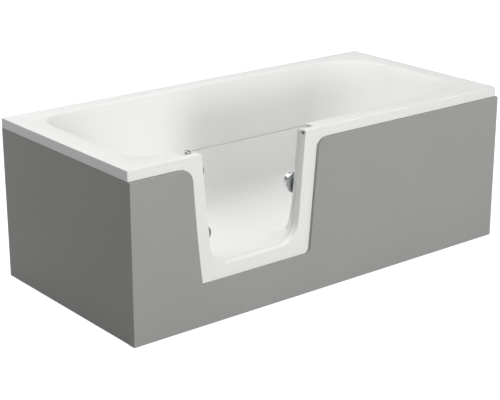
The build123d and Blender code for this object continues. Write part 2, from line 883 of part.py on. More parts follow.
def latch_screw():
    """The screw that holds the cam on the spindle."""
    y0 = seat + cam_seat_gap
    head = crosswise(latch, latch_height, y0 - cam_screw_head_height, y0, cam_screw_head)
    head = fillet(head.faces().sort_by(Axis.Y)[0].edges(), 0.8)
    return head + crosswise(latch, latch_height, y0, y0 + cam_screw_length - 1, cam_screw_radius)


def latch_keeper():
    """The keeper on the seat: its lip holds the cam when the knob is turned a quarter turn."""
    x0 = x_left + keeper_left
    x1 = x_left + keeper_right
    cam_back = seat + cam_seat_gap + cam_thickness
    lip_y = cam_back + keeper_play
    leg_low = latch_height + keeper_rise
    leg_high = leg_low + keeper_leg
    lip = block(x0, x1, lip_y, lip_y + keeper_lip, latch_height - keeper_drop, leg_high)
    leg = block(x0, x1, seat, lip_y + keeper_lip, leg_low, leg_high)
    plate = block(x0, x1, seat, seat + keeper_plate, leg_low, leg_high + keeper_plate_height)
    body = lip + leg + plate
    for x, z in keeper_screws_at():
        body -= screw_form(x, z, seat + keeper_plate, screw_seat_fit)
    return body


def keeper_screws():
    face = seat + keeper_plate
    return Compound(children=[screw_form(x, z, face, 0.0) for x, z in keeper_screws_at()])


# Waste, trap and outlet

def ring_at(z0, z1, outer, inner):
    """A plain ring round the waste's axis."""
    return upright(waste_at, waste_y, z0, z1, outer) - upright(waste_at, waste_y, z0 - 1, z1 + 1, inner)


def waste_flange():
    """The flange on the basin floor, with its threaded tube and the spider that guides the plug."""
    low = flange_top - waste_tube_length
    plate = ring_at(flange_top - flange_height, flange_top, flange_radius, waste_bore)
    plate = fillet(plate.faces().sort_by(Axis.Z)[-1].edges(), flange_height * 0.4)
    body = plate + ring_at(low, flange_top - flange_height / 2, waste_tube, waste_bore)
    for turn in (0, 120, 240):
        arm = block(guide_radius - 1, waste_bore + 1, -guide_arm / 2, guide_arm / 2, low, low + guide_height)
        body += Pos(waste_at, waste_y, 0) * Rot(0, 0, turn) * arm
    body += ring_at(low, low + guide_height, guide_radius, plug_stem + running_fit)
    return body


def waste_seal():
    """The rubber ring clamped under the basin floor."""
    top = floor_height - wall
    return ring_at(top - seal_height, top, seal_radius, waste_tube + face_gap)


def waste_body():
    """The plastic body under the floor, with a side branch for the overflow and a spigot below."""
    top = floor_height - wall - seal_height
    body = ring_at(top - body_flange, top, seal_radius, waste_tube)
    body += ring_at(body_floor, top, body_radius, waste_tube)
    body += ring_at(trap_top + trap_cover_height, body_floor + 3, spigot_outer, spigot_bore)
    body += ring_at(body_floor, body_floor + 3, body_radius, spigot_bore)
    x0 = waste_at - body_radius - 3 * pipe_lap
    x1 = waste_at - waste_tube - 1
    branch = Pos((x0 + x1) / 2, waste_y, pipe_height) * Rot(0, 90, 0) * Cylinder(pipe_outer + 3, x1 - x0)
    cap = x0 + 2 * pipe_lap
    socket = Pos((x0 + cap) / 2, waste_y, pipe_height) * Rot(0, 90, 0) * Cylinder(pipe_outer, cap - x0)
    hole = Pos((x0 + x1) / 2, waste_y, pipe_height) * Rot(0, 90, 0) * Cylinder(pipe_bore, x1 - x0 + 2)
    return body + branch - socket - hole


def waste_plug():
    """A low domed plug on a stem, closed, that lifts to let the water out."""
    z = flange_top + face_gap
    disc = upright(waste_at, waste_y, z, z + plug_height, plug_radius)
    disc = fillet(disc.faces().sort_by(Axis.Z)[-1].edges(), plug_height * 0.6)
    stem_low = flange_top - waste_tube_length - guide_height / 2
    return disc + upright(waste_at, waste_y, stem_low, z + 1, plug_stem)


def trap_body():
    """The bottle trap's cup, with its outlet stub towards the wall."""
    cup = ring_at(trap_bottom, trap_top, trap_radius, trap_radius - trap_wall)
    cup += upright(waste_at, waste_y, trap_bottom, trap_bottom + trap_wall, trap_radius)
    y1 = waste_y + trap_radius + outlet_stub
    cup += crosswise(waste_at, outlet_height, waste_y + trap_radius - 2 * trap_wall, y1, outlet_radius)
    return cup - crosswise(waste_at, outlet_height, waste_y + trap_radius / 2, y1 + 1, outlet_bore)


def trap_cover():
    """The trap's cover, with the dip tube that makes the water seal and a socket for the waste."""
    cover_top = trap_top + trap_cover_height
    body = ring_at(trap_top, cover_top, trap_radius, spigot_bore)
    body += ring_at(dip_bottom, cover_top, spigot_outer - 1, spigot_bore)
    return body


def trap_nut():
    """The union nut between the waste body's spigot and the trap's cover."""
    z0 = trap_top + trap_cover_height
    z1 = body_floor
    nut = Pos(waste_at, waste_y, z0) * extrude(RegularPolygon(trap_nut_radius, 12), amount=z1 - z0)
    return nut - upright(waste_at, waste_y, z0 - 1, z1 + 1, spigot_outer)


def outlet_nut():
    """The union nut where the outlet pipe joins the trap."""
    y0 = waste_y + trap_radius + outlet_stub - outlet_nut_length / 2
    outline = Pos(waste_at, outlet_height) * RegularPolygon(outlet_nut_radius, 12)
    nut = slab(outline, y0, y0 + outlet_nut_length)
    return nut - crosswise(waste_at, outlet_height, y0 - 1, y0 + outlet_nut_length + 1, outlet_radius)


def outlet_pipe():
    """The pipe under the back rail, ending in a socket for the drain."""
    y0 = waste_y + trap_radius + outlet_stub
    y1 = y_back - outlet_end_from_back
    body = crosswise(waste_at, outlet_height, y0, y1 - socket_depth, outlet_radius)
    body += crosswise(waste_at, outlet_height, y1 - socket_depth - 6, y1, socket_outer)
    body -= crosswise(waste_at, outlet_height, y0 - 1, y1 + 1, outlet_bore)
    return body - crosswise(waste_at, outlet_height, y1 - socket_depth, y1 + 1, socket_bore)


# Overflow

def overflow_rosette():
    """The ring on the inner face of the end wall."""
    frame = overflow_frame().offset(face_gap + 0.2)
    ring = Pos(0, 0, overflow_ring / 2) * Cylinder(overflow_radius, overflow_ring)
    ring = fillet(ring.faces().sort_by(Axis.Z)[-1].edges(), overflow_ring / 3)
    for turn in range(0, 360, 45):
        hole = Pos(overflow_knob_radius * 0.6, 0, overflow_ring / 2) * Cylinder(3, 2 * overflow_ring)
        ring -= Rot(0, 0, turn) * hole
    ring -= Cylinder(overflow_spindle + running_fit, 4 * overflow_ring)
    return frame * ring


def overflow_knob():
    """The round turn knob that works the plug, with its spindle."""
    base = face_gap + 0.2 + overflow_ring + overflow_knob_gap
    top = base + overflow_knob_height
    frame = overflow_frame()
    disc = Pos(0, 0, (base + top) / 2) * Cylinder(overflow_knob_radius, top - base)
    disc = fillet(disc.faces().sort_by(Axis.Z)[-1].edges(), 3)
    for turn in range(0, 360, 60):
        disc -= Rot(0, 0, turn) * Pos(overflow_knob_radius + 4, 0, (base + top) / 2) * Cylinder(8, top)
    low = -wall - overflow_seal_height - overflow_cup_depth / 2
    spindle = Pos(0, 0, (low + base + 1) / 2) * Cylinder(overflow_spindle, base + 1 - low)
    return frame * (disc + spindle)


def overflow_seal():
    """The rubber ring between the shell and the overflow body."""
    top = -wall - 0.2
    low = top - overflow_seal_height + 0.2
    ring = Pos(0, 0, (top + low) / 2) * Cylinder(overflow_cup_radius, top - low)
    return overflow_frame() * (ring - Cylinder(overflow_hole + 2, 8 * wall))


def pipe_x():
    """Where the overflow pipe runs down behind the end wall."""
    share = (height - overflow_height) / depth
    wall_x = x_left + land_left + share * end_inset
    return wall_x - wall - overflow_seal_height - overflow_cup_depth / 2 - bow_left


def overflow_body():
    """The cup behind the end wall, with its neck pointing down to the pipe."""
    top = -wall - overflow_seal_height
    low = top - overflow_cup_depth
    cup = Pos(0, 0, (top + low) / 2) * Cylinder(overflow_cup_radius, overflow_cup_depth)
    neck_top = overflow_height - overflow_cup_radius / 2
    neck_low = overflow_height - overflow_neck_drop
    body = overflow_frame() * cup + upright(pipe_x(), waste_y, neck_low, neck_top, overflow_neck_radius)
    inner_depth = overflow_cup_depth - overflow_cup_wall
    hollow = Pos(0, 0, top - inner_depth / 2) * Cylinder(overflow_cup_radius - overflow_cup_wall, inner_depth)
    body -= overflow_frame() * hollow
    body -= upright(pipe_x(), waste_y, neck_low - 1, neck_top, pipe_bore)
    return body - upright(pipe_x(), waste_y, neck_low - 1, neck_low + pipe_lap, pipe_outer)


def overflow_pipe():
    """The pipe from the overflow down and along to the waste."""
    top = overflow_height - overflow_neck_drop + pipe_lap
    end_x = waste_at - body_radius - pipe_lap
    corner = (pipe_x(), waste_y, pipe_height)
    path = FilletPolyline((pipe_x(), waste_y, top), corner, (end_x, waste_y, pipe_height), radius=pipe_bend)
    start = Plane(origin=(pipe_x(), waste_y, top), x_dir=(1, 0, 0), z_dir=(0, 0, -1))
    outside = sweep(start * Circle(pipe_outer), path=path)
    inside = sweep(start * Circle(pipe_bore), path=path)
    return outside - inside


def main():
    """Builds every sub-part and writes it."""
    os.makedirs("parts", exist_ok=True)
    save(drill_shell(tub_shell()), "tub_shell")
    save(base_board(), "base_board")
    save(rail(rail_front), "frame_rail_front")
    save(rail(rail_back), "frame_rail_back")
    save(cross_beams(), "frame_cross_beams")
    save(corner_uprights(), "frame_uprights")
    save(threshold_support(), "threshold_support")
    save(at_feet(foot_stud), "foot_studs")
    save(at_feet(foot_pad), "foot_pads")
    save(foot_nuts(), "foot_nuts")
    for side in ("front_left", "front_right", "back", "left", "right"):
        save(batten(side), "rim_batten_" + side)
    save(panel_clips(), "panel_clips")
    save(panel_stays(), "panel_stays")
    save(wall_bracket(bracket_places[0]), "wall_bracket_left")
    save(wall_bracket(bracket_places[1]), "wall_bracket_right")
    save(front_panel(), "front_panel")
    save(end_panel(-1), "left_end_panel")
    save(end_panel(1), "right_end_panel")
    save(door_gasket(), "door_gasket")
    save(door_glass(), "door_glass")
    save(hinge_rod(), "hinge_rod")
    save(hinge_cap(), "hinge_cap")
    save(hinge_bracket(hinge_high), "hinge_bracket_upper")
    save(hinge_bracket(hinge_low), "hinge_bracket_lower")
    save(hinge_bracket_screws(), "hinge_bracket_screws")
    save(hinge_arm(*hinge_pins()[0]), "hinge_arm_upper")
    save(hinge_arm(*hinge_pins()[1]), "hinge_arm_lower")
    save(hinge_pads(), "hinge_pads")
    save(hinge_bolts(), "hinge_bolts")
    save(hinge_nuts(), "hinge_nuts")
    save(latch_bush(), "latch_bush")
    save(latch_rosette(), "latch_rosette")
    save(latch_knob(), "latch_knob")
    save(latch_spindle(), "latch_spindle")
    save(latch_cam(), "latch_cam")
    save(latch_screw(), "latch_screw")
    save(latch_keeper(), "latch_keeper")
    save(keeper_screws(), "keeper_screws")
    save(waste_flange(), "waste_flange")
    save(waste_seal(), "waste_seal")
    save(waste_body(), "waste_body")
    save(waste_plug(), "waste_plug")
    save(trap_body(), "trap_body")
    save(trap_cover(), "trap_cover")
    save(trap_nut(), "trap_nut")
    save(outlet_nut(), "outlet_nut")
    save(outlet_pipe(), "outlet_pipe")
    save(overflow_rosette(), "overflow_rosette")
    save(overflow_knob(), "overflow_knob")
    save(overflow_seal(), "overflow_seal")
    save(overflow_body(), "overflow_body")
    save(overflow_pipe(), "overflow_pipe")


main()
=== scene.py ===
import json
from math import cos, pi, radians, sin

import bmesh
import bpy
from bpy.props import FloatProperty, FloatVectorProperty, IntProperty, PointerProperty
from bpy.types import Operator, Panel, PropertyGroup
from mathutils import Matrix, Vector


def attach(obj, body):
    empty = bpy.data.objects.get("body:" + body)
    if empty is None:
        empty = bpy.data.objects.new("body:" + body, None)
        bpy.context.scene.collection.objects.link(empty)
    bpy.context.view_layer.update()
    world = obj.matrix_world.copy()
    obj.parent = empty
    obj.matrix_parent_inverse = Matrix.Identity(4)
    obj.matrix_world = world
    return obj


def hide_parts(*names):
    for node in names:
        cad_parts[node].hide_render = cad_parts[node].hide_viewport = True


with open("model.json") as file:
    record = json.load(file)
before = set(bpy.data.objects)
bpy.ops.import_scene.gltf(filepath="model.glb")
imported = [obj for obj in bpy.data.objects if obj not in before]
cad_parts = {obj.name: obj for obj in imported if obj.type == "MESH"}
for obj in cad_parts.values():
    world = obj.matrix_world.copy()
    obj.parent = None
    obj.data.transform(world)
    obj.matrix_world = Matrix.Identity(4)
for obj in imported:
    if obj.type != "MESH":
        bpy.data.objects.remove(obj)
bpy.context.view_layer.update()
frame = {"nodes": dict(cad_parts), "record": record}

bl_info = {
    "name": "Walk-in bathtub",
    "version": (1, 0, 0),
    "blender": (4, 5, 0),
    "location": "View3D > Sidebar > Bathtub",
    "description": "Finishes the walk-in bathtub's pieces round its fixed frame",
    "category": "Object",
}

NODES = frame["nodes"]
RECORD = frame["record"]
BODY_OF = {node: body for body, names in RECORD["behaviour"]["bodies"].items() for node in names}

# Tones of the finishes that a user wouldn't change.
DARK_RUBBER = (0.045, 0.045, 0.046)
DUSTY_RUBBER = (0.19, 0.19, 0.188)
BLACK_PLASTIC = (0.035, 0.035, 0.036)
YELLOWED_ZINC = (0.66, 0.64, 0.56)
TIMBER_BAND = (0.62, 0.48, 0.36, 1.0)
FLOOR_DARKER = (0.27, 0.27, 0.27)
FLOOR_PALER = (0.29, 0.29, 0.29)
WHITE = (1.0, 1.0, 1.0, 1.0)

# How tightly a timber's pattern is drawn along X, Y and Z. The grain runs along the smallest figure.
GRAIN_ALONG_X = (9.0, 260.0, 260.0)
GRAIN_ALONG_Y = (260.0, 9.0, 260.0)

# The places of a Mix node's colour sockets among its inputs and outputs.
MIX_FIRST = 6
MIX_SECOND = 7
MIX_RESULT = 2

# Lengths in metres within which points are one, and sizes are the same.
WELD_REACH = 2e-6
SIZE_SLACK = 2e-5

# The decimals of a height in metres that are kept when two heights are compared.
HEIGHT_DIGITS = 6

# Angles in degrees: of faces that are one plane, of shading kept smooth, and of edges that are eased.
FLAT_ANGLE = 0.2
SMOOTH_ANGLE = 32.0
SHELL_SMOOTH_ANGLE = 28.0
EASED_ANGLE = 40.0

# The facets across an eased edge.
EASED_STEPS = 2

# The share of a face's normal that lies along an axis when the face looks that way.
LOOKS_ALONG = 0.999

# A screw's socket: its sides, and its depth as a share of its half width.
SOCKET_SIDES = 6
SOCKET_DEPTH = 0.8

# The width of the camera's sensor in mm, and how far in metres it sees.
SENSOR_WIDTH = 36.0
VIEW_REACH = 100.0

# Each lamp's place and the side of its square, in metres. Its power is the stage's value of its name.
LAMPS = {
    "overhead": ((-1.2, 0.2, 6.0), 6.0),
    "back": ((0.0, 4.5, 5.0), 4.0),
    "front": ((0.0, -6.0, 2.2), 4.0),
    "low": ((0.0, -6.0, 0.9), 1.6),
    "side": ((4.0, -5.0, 2.2), 3.0),
}

# The point that every lamp is turned to.
LAMP_AIM = Vector((0.0, 0.0, 0.4))

# The floor's half width and how far it lies under the feet, in metres.
FLOOR_REACH = 30.0
FLOOR_DROP = 0.0002


class TubColours(PropertyGroup):
    """The colours that a user would change."""

    acrylic: FloatVectorProperty(
        name="Acrylic", description="Moulded shell", subtype="COLOR", default=(0.79, 0.79, 0.777))
    panel: FloatVectorProperty(
        name="Panel", description="Front and end panels", subtype="COLOR",
        default=(0.330, 0.330, 0.3205))
    glass_tint: FloatVectorProperty(
        name="Glass tint", description="Face of the door pane", subtype="COLOR",
        default=(0.80, 0.88, 0.85))
    glass_edge: FloatVectorProperty(
        name="Glass edge", description="Ground edge of the pane", subtype="COLOR",
        default=(0.33, 0.39, 0.34))
    seal: FloatVectorProperty(
        name="Seal", description="Rubber of the door seal", subtype="COLOR",
        default=(0.74, 0.74, 0.73))
    chrome: FloatVectorProperty(
        name="Chrome", description="Plated hinge, latch and waste parts", subtype="COLOR",
        default=(0.66, 0.67, 0.68))
    timber: FloatVectorProperty(
        name="Timber", description="Battens and base board", subtype="COLOR",
        default=(0.52, 0.36, 0.20))
    frame_coat: FloatVectorProperty(
        name="Frame coat", description="Coating of the steel frame", subtype="COLOR",
        default=(0.10, 0.105, 0.11))
    plastic: FloatVectorProperty(
        name="Plastic", description="Trap and pipes", subtype="COLOR", default=(0.66, 0.66, 0.65))


class TubSizes(PropertyGroup):
    """Small sizes that the looks need and the frame doesn't hold."""

    metal_edge: FloatProperty(
        name="Metal edge", description="Round on cast metal edges", unit="LENGTH", default=0.0006)
    timber_edge: FloatProperty(
        name="Timber edge", description="Eased edge of the battens", unit="LENGTH", default=0.0015)
    thread_depth: FloatProperty(
        name="Thread depth", description="Depth of the thread on the feet", unit="LENGTH",
        default=0.0007)
    thread_pitch: FloatProperty(
        name="Thread pitch", description="Pitch of the thread on the feet", unit="LENGTH",
        default=0.00175)
    socket_share: FloatProperty(
        name="Socket", description="Width of a screw's socket as a share of its head", default=0.45)
    turned_sides: IntProperty(
        name="Turned sides", description="Sides of a turned piece", default=48, min=24, max=128)


class StageSettings(PropertyGroup):
    """The camera, the floor and the lights."""

    camera_place: FloatVectorProperty(
        name="Camera", description="Where the camera stands", unit="LENGTH",
        default=(-2.92765, -3.59925, 1.80040))
    camera_aim: FloatVectorProperty(
        name="Aim", description="Point at the middle of the picture", unit="LENGTH",
        default=(-0.33940, -0.36950, 0.37829))
    lens: FloatProperty(name="Lens", description="Focal length in mm", default=99.472)
    overhead: FloatProperty(
        name="Overhead", description="Wide lamp over the tub", unit="POWER", default=278.0)
    back: FloatProperty(
        name="Back", description="Lamp high behind the tub", unit="POWER", default=132.0)
    front: FloatProperty(
        name="Front", description="Wide lamp before the tub", unit="POWER", default=110.0)
    low: FloatProperty(
        name="Low", description="Small low lamp before the tub", unit="POWER", default=120.0)
    side: FloatProperty(
        name="Side", description="Lamp at the front right", unit="POWER", default=20.0)
    sky: FloatProperty(name="Sky", description="Plain light from all round", default=0.195)
    backdrop: FloatProperty(
        name="Backdrop", description="How white the floor shows to the camera", default=0.93)


class Wire:
    """One output of a shader tree. Sums, products and powers of wires add Math nodes."""

    def __init__(self, recipe, socket):
        self.recipe = recipe
        self.socket = socket

    def math(self, operation, first, second):
        """A Math node on two values, of which at least one is a wire."""
        return self.recipe.make("ShaderNodeMath", {"operation": operation}, {0: first, 1: second})

    def __add__(self, other):
        return self.math("ADD", self, other)

    def __radd__(self, other):
        return self.math("ADD", other, self)

    def __sub__(self, other):
        return self.math("SUBTRACT", self, other)

    def __rsub__(self, other):
        return self.math("SUBTRACT", other, self)

    def __mul__(self, other):
        return self.math("MULTIPLY", self, other)

    def __rmul__(self, other):
        return self.math("MULTIPLY", other, self)

    def __pow__(self, other):
        return self.math("POWER", self, other)


class Recipe:
    """A material's node tree, with one Principled shader, built by expressions."""

    def __init__(self, name):
        self.material = bpy.data.materials.new(name)
        self.material.use_nodes = True
        self.tree = self.material.node_tree
        self.tree.nodes.clear()
        self.output = self.tree.nodes.new("ShaderNodeOutputMaterial")
        self.shader = self.tree.nodes.new("ShaderNodeBsdfPrincipled")
        self.tree.links.new(self.shader.outputs[0], self.output.inputs["Surface"])

    def feed(self, node, key, value):
        """Sets a socket, or links it where the value is a wire."""
        if isinstance(value, Wire):
            self.tree.links.new(value.socket, node.inputs[key])
        else:
            node.inputs[key].default_value = value

    def make(self, kind, settings, inputs, output=0):
        """Adds a node: its settings first, then the values or links of its sockets."""
        node = self.tree.nodes.new(kind)
        for key, value in settings.items():
            if key == "stops":
                self.set_stops(node.color_ramp, value)
            else:
                setattr(node, key, value)
        for key, value in inputs.items():
            self.feed(node, key, value)
        return Wire(self, node.outputs[output])

    def set_stops(self, ramp, stops):
        """Gives a ramp its stops, each a place and a grey level."""
        while len(ramp.elements) > len(stops):
            ramp.elements.remove(ramp.elements[-1])
        while len(ramp.elements) < len(stops):
            ramp.elements.new(1.0)
        for element, (place, level) in zip(ramp.elements, stops):
            element.position = place
            element.color = (level, level, level, 1.0)

    def place(self, scale=(1.0, 1.0, 1.0), turn=(0.0, 0.0, 0.0)):
        """The piece's own coordinates in metres, stretched and turned."""
        spot = self.make("ShaderNodeTexCoord", {}, {}, output="Object")
        return self.make("ShaderNodeMapping", {}, {"Vector": spot, "Scale": scale, "Rotation": turn})

    def noise(self, scale, detail, roughness=0.5, place=None):
        """Soft noise from 0 to 1."""
        spot = place or self.place()
        settings = {"noise_dimensions": "3D"}
        inputs = {"Vector": spot, "Scale": scale, "Detail": detail, "Roughness": roughness}
        return self.make("ShaderNodeTexNoise", settings, inputs)

    def levels(self, value, stops):
        """A wire reshaped by grey stops."""
        return self.make("ShaderNodeValToRGB", {"stops": stops}, {"Fac": value})

    def mix(self, factor, first, second):
        """A colour between two colours."""
        inputs = {"Factor": factor, MIX_FIRST: (*first, 1.0), MIX_SECOND: (*second, 1.0)}
        return self.make("ShaderNodeMix", {"data_type": "RGBA"}, inputs, output=MIX_RESULT)

    def bump(self, height, strength, distance):
        """A normal from a height in metres."""
        inputs = {"Height": height, "Strength": strength, "Distance": distance}
        return self.make("ShaderNodeBump", {}, inputs)

    def surface(self, **sockets):
        """Feeds the shader; a socket's name is written with underscores."""
        for key, value in sockets.items():
            self.feed(self.shader, key.replace("_", " ").title().replace("Ior", "IOR"), value)


def shade(colour, factor):
    """The same colour, lighter or darker."""
    return tuple(min(1.0, part * factor) for part in colour)


def gloss_acrylic(colours):
    """Moulded acrylic, softly lit: a trace of orange peel, slow tone drift and faint wiping marks."""
    recipe = Recipe("gloss_acrylic")
    drift = recipe.noise(scale=1.7, detail=2.0)
    stretched = recipe.place(scale=(1.0, 3.0, 1.0), turn=(0.2, 0.1, 0.5))
    wiped = recipe.noise(scale=9.0, detail=4.0, roughness=0.6, place=stretched)
    peel = recipe.noise(scale=620.0, detail=1.0)
    colour = recipe.mix(drift, shade(colours.acrylic, 0.985), shade(colours.acrylic, 1.01))
    marks = recipe.levels(wiped, [(0.35, 0.0), (0.75, 1.0)])
    recipe.surface(
        base_color=colour, roughness=0.40 + marks * 0.08, specular_ior_level=0.28,
        normal=recipe.bump(peel, strength=0.04, distance=0.0002))


def satin_panel(colours):
    """Satin moulded sheet: a fine grain, soft clouding and a few rubbed patches."""
    recipe = Recipe("satin_panel")
    cloud = recipe.noise(scale=2.3, detail=3.0, roughness=0.55)
    grain = recipe.noise(scale=1400.0, detail=2.0)
    patches = recipe.noise(scale=14.0, detail=5.0, roughness=0.65)
    rubbed = recipe.levels(patches, [(0.45, 0.0), (0.8, 1.0)])
    colour = recipe.mix(cloud, shade(colours.panel, 0.95), shade(colours.panel, 1.05))
    rough = 0.40 + grain * 0.08 - rubbed * 0.06
    recipe.surface(
        base_color=colour, roughness=rough, specular_ior_level=0.12,
        normal=recipe.bump(grain, strength=0.10, distance=0.0003))


def door_pane(colours):
    """Clear glass: nearly unseen face on, more opaque at a glance, where its tint is a painted
    reflection, with a breath of water marks.
    """
    recipe = Recipe("door_pane")
    painted_sheen_glance = recipe.make("ShaderNodeLayerWeight", {}, {"Blend": 0.35}, output="Facing")
    drops = recipe.noise(scale=42.0, detail=6.0, roughness=0.7)
    marks = recipe.levels(drops, [(0.55, 0.0), (0.85, 1.0)])
    # Opacity rising at a glance shows the pale tint as a painted reflection; the marks add faint
    # water marks.
    alpha = 0.03 + (painted_sheen_glance ** 3.0) * 0.45 + marks * 0.01
    recipe.material.surface_render_method = "DITHERED"
    recipe.surface(
        base_color=(*colours.glass_tint, 1.0), roughness=0.02 + marks * 0.10, alpha=alpha,
        specular_ior_level=0.8)


def pane_edge(colours):
    """The ground edge of the glass, where its green gathers."""
    recipe = Recipe("pane_edge")
    streaks = recipe.place(scale=(0.05, 1.0, 0.05))
    ground = recipe.noise(scale=900.0, detail=3.0, roughness=0.6, place=streaks)
    depth = recipe.noise(scale=11.0, detail=2.0)
    colour = recipe.mix(depth, shade(colours.glass_edge, 0.8), shade(colours.glass_edge, 1.25))
    recipe.surface(
        base_color=colour, roughness=0.16 + ground * 0.12, alpha=0.8, specular_ior_level=0.6,
        normal=recipe.bump(ground, strength=0.05, distance=0.0002))


def plated_chrome(colours):
    """Polished plate with hairline wiping marks and a little haze."""
    recipe = Recipe("plated_chrome")
    haze = recipe.noise(scale=26.0, detail=4.0, roughness=0.6)
    streaks = recipe.place(scale=(1.0, 0.05, 0.4))
    hairs = recipe.noise(scale=700.0, detail=2.0, roughness=0.5, place=streaks)
    colour = recipe.mix(haze, shade(colours.chrome, 0.94), shade(colours.chrome, 1.04))
    rough = 0.05 + recipe.levels(haze, [(0.4, 0.0), (0.9, 1.0)]) * 0.07 + hairs * 0.02
    recipe.surface(
        base_color=colour, metallic=1.0, roughness=rough,
        normal=recipe.bump(hairs, strength=0.02, distance=0.0001))


def brushed_steel(colours):
    """Stainless steel with a fine brushed grain."""
    recipe = Recipe("brushed_steel")
    streaks = recipe.place(scale=(0.04, 1.0, 1.0))
    brush = recipe.noise(scale=1100.0, detail=3.0, roughness=0.6, place=streaks)
    stain = recipe.noise(scale=30.0, detail=3.0)
    colour = recipe.mix(stain, shade(colours.chrome, 0.85), shade(colours.chrome, 1.0))
    recipe.surface(
        base_color=colour, metallic=1.0, roughness=0.24 + brush * 0.18,
        normal=recipe.bump(brush, strength=0.08, distance=0.0002))


def zinc_plate(colours):
    """Bright zinc on steel: pale patches and a faint yellow cast."""
    recipe = Recipe("zinc_plate")
    crystal = recipe.make("ShaderNodeTexVoronoi", {}, {"Vector": recipe.place(), "Scale": 160.0})
    patch = recipe.noise(scale=55.0, detail=3.0)
    colour = recipe.mix(patch, shade(colours.chrome, 0.75), YELLOWED_ZINC)
    recipe.surface(
        base_color=colour, metallic=1.0, roughness=0.30 + crystal * 0.12,
        normal=recipe.bump(patch, strength=0.05, distance=0.0003))


def powder_coat(colours):
    """Powder coating on the steel frame, with its fine pimples."""
    recipe = Recipe("powder_coat")
    pimple = recipe.noise(scale=520.0, detail=3.0, roughness=0.6)
    dust = recipe.noise(scale=6.0, detail=4.0, roughness=0.6)
    colour = recipe.mix(dust, colours.frame_coat, shade(colours.frame_coat, 1.6))
    recipe.surface(
        base_color=colour, roughness=0.42 + dust * 0.18,
        normal=recipe.bump(pimple, strength=0.25, distance=0.0004))


def sawn_timber(colours, name, grain_scale):
    """Softwood with its grain along the batten and the odd darker band."""
    recipe = Recipe(name)
    fibre = recipe.noise(scale=1.0, detail=6.0, roughness=0.65, place=recipe.place(grain_scale))
    band = recipe.noise(scale=0.25, detail=3.0, roughness=0.5, place=recipe.place(grain_scale))
    pale = recipe.mix(fibre, shade(colours.timber, 0.72), shade(colours.timber, 1.25))
    share = recipe.levels(band, [(0.45, 0.0), (0.7, 0.5)])
    tone = recipe.make(
        "ShaderNodeMix", {"data_type": "RGBA", "blend_type": "MULTIPLY"},
        {"Factor": share, MIX_FIRST: pale, MIX_SECOND: TIMBER_BAND}, output=MIX_RESULT)
    recipe.surface(
        base_color=tone, roughness=0.62 + fibre * 0.2,
        normal=recipe.bump(fibre, strength=0.3, distance=0.0005))


def soft_rubber(name, tone):
    """Soft rubber with a chalky bloom."""
    recipe = Recipe(name)
    bloom = recipe.noise(scale=70.0, detail=4.0, roughness=0.6)
    colour = recipe.mix(bloom, shade(tone, 0.92), shade(tone, 1.12))
    recipe.surface(
        base_color=colour, roughness=0.55 + bloom * 0.2,
        normal=recipe.bump(bloom, strength=0.08, distance=0.0003))


def moulded_plastic(name, tone):
    """Matt moulded plastic with a light spark-eroded grain."""
    recipe = Recipe(name)
    grain = recipe.noise(scale=800.0, detail=2.0)
    drift = recipe.noise(scale=8.0, detail=3.0)
    colour = recipe.mix(drift, shade(tone, 0.93), shade(tone, 1.05))
    recipe.surface(
        base_color=colour, roughness=0.44 + drift * 0.1,
        normal=recipe.bump(grain, strength=0.12, distance=0.0003))


def studio_floor(stage):
    """A pale floor that takes the shadow and shows white to the camera and in mirrors."""
    recipe = Recipe("studio_floor")
    path = recipe.tree.nodes.new("ShaderNodeLightPath")
    seen = Wire(recipe, path.outputs["Is Camera Ray"]) + Wire(recipe, path.outputs["Is Glossy Ray"])
    seen = seen + Wire(recipe, path.outputs["Is Transmission Ray"])
    speck = recipe.noise(scale=3.0, detail=2.0)
    tone = recipe.mix(speck, FLOOR_DARKER, FLOOR_PALER)
    recipe.surface(base_color=tone, roughness=0.9, specular_ior_level=0.0)
    light = {"Color": WHITE, "Strength": seen * stage.backdrop}
    glow = recipe.make("ShaderNodeEmission", {}, light)
    plain = Wire(recipe, recipe.shader.outputs[0])
    both = recipe.make("ShaderNodeAddShader", {}, {0: plain, 1: glow})
    recipe.tree.links.new(both.socket, recipe.output.inputs["Surface"])
    return recipe.material


def finishes():
    """The finishes by the names that the pieces use, made once."""
    colours = bpy.context.scene.tub_colours
    if "gloss_acrylic" not in bpy.data.materials:
        gloss_acrylic(colours)
        satin_panel(colours)
        door_pane(colours)
        pane_edge(colours)
        plated_chrome(colours)
        brushed_steel(colours)
        zinc_plate(colours)
        powder_coat(colours)
        sawn_timber(colours, "timber_along", GRAIN_ALONG_X)
        sawn_timber(colours, "timber_across", GRAIN_ALONG_Y)
        soft_rubber("rubber_pale", colours.seal)
        soft_rubber("rubber_dark", DARK_RUBBER)
        soft_rubber("rubber_dusty", DUSTY_RUBBER)
        moulded_plastic("moulded_pale", colours.plastic)
        moulded_plastic("moulded_black", BLACK_PLASTIC)
    return bpy.data.materials


def new_piece(name, mesh, finish_names):
    """Links a mesh as an object at the origin, with its finishes."""
    piece = bpy.data.objects.new(name, mesh)
    bpy.context.scene.collection.objects.link(piece)
    mesh.materials.clear()
    for finish in finish_names:
        mesh.materials.append(finishes()[finish])
    return piece


def fit(piece, *nodes):
    """The piece stands for its nodes, on their body, and the nodes are hidden."""
    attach(piece, BODY_OF[nodes[0]])
    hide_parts(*nodes)


def smooth(mesh, angle=SMOOTH_ANGLE):
    """Smooth shading that keeps real corners sharp."""
    mesh.shade_smooth()
    mesh.set_sharp_from_angle(angle=radians(angle))


def baked(piece):
    """Turns a piece's modifiers into its plain mesh."""
    graph = bpy.context.evaluated_depsgraph_get()
    mesh = bpy.data.meshes.new_from_object(piece.evaluated_get(graph))
    piece.modifiers.clear()
    piece.data = mesh
    return mesh


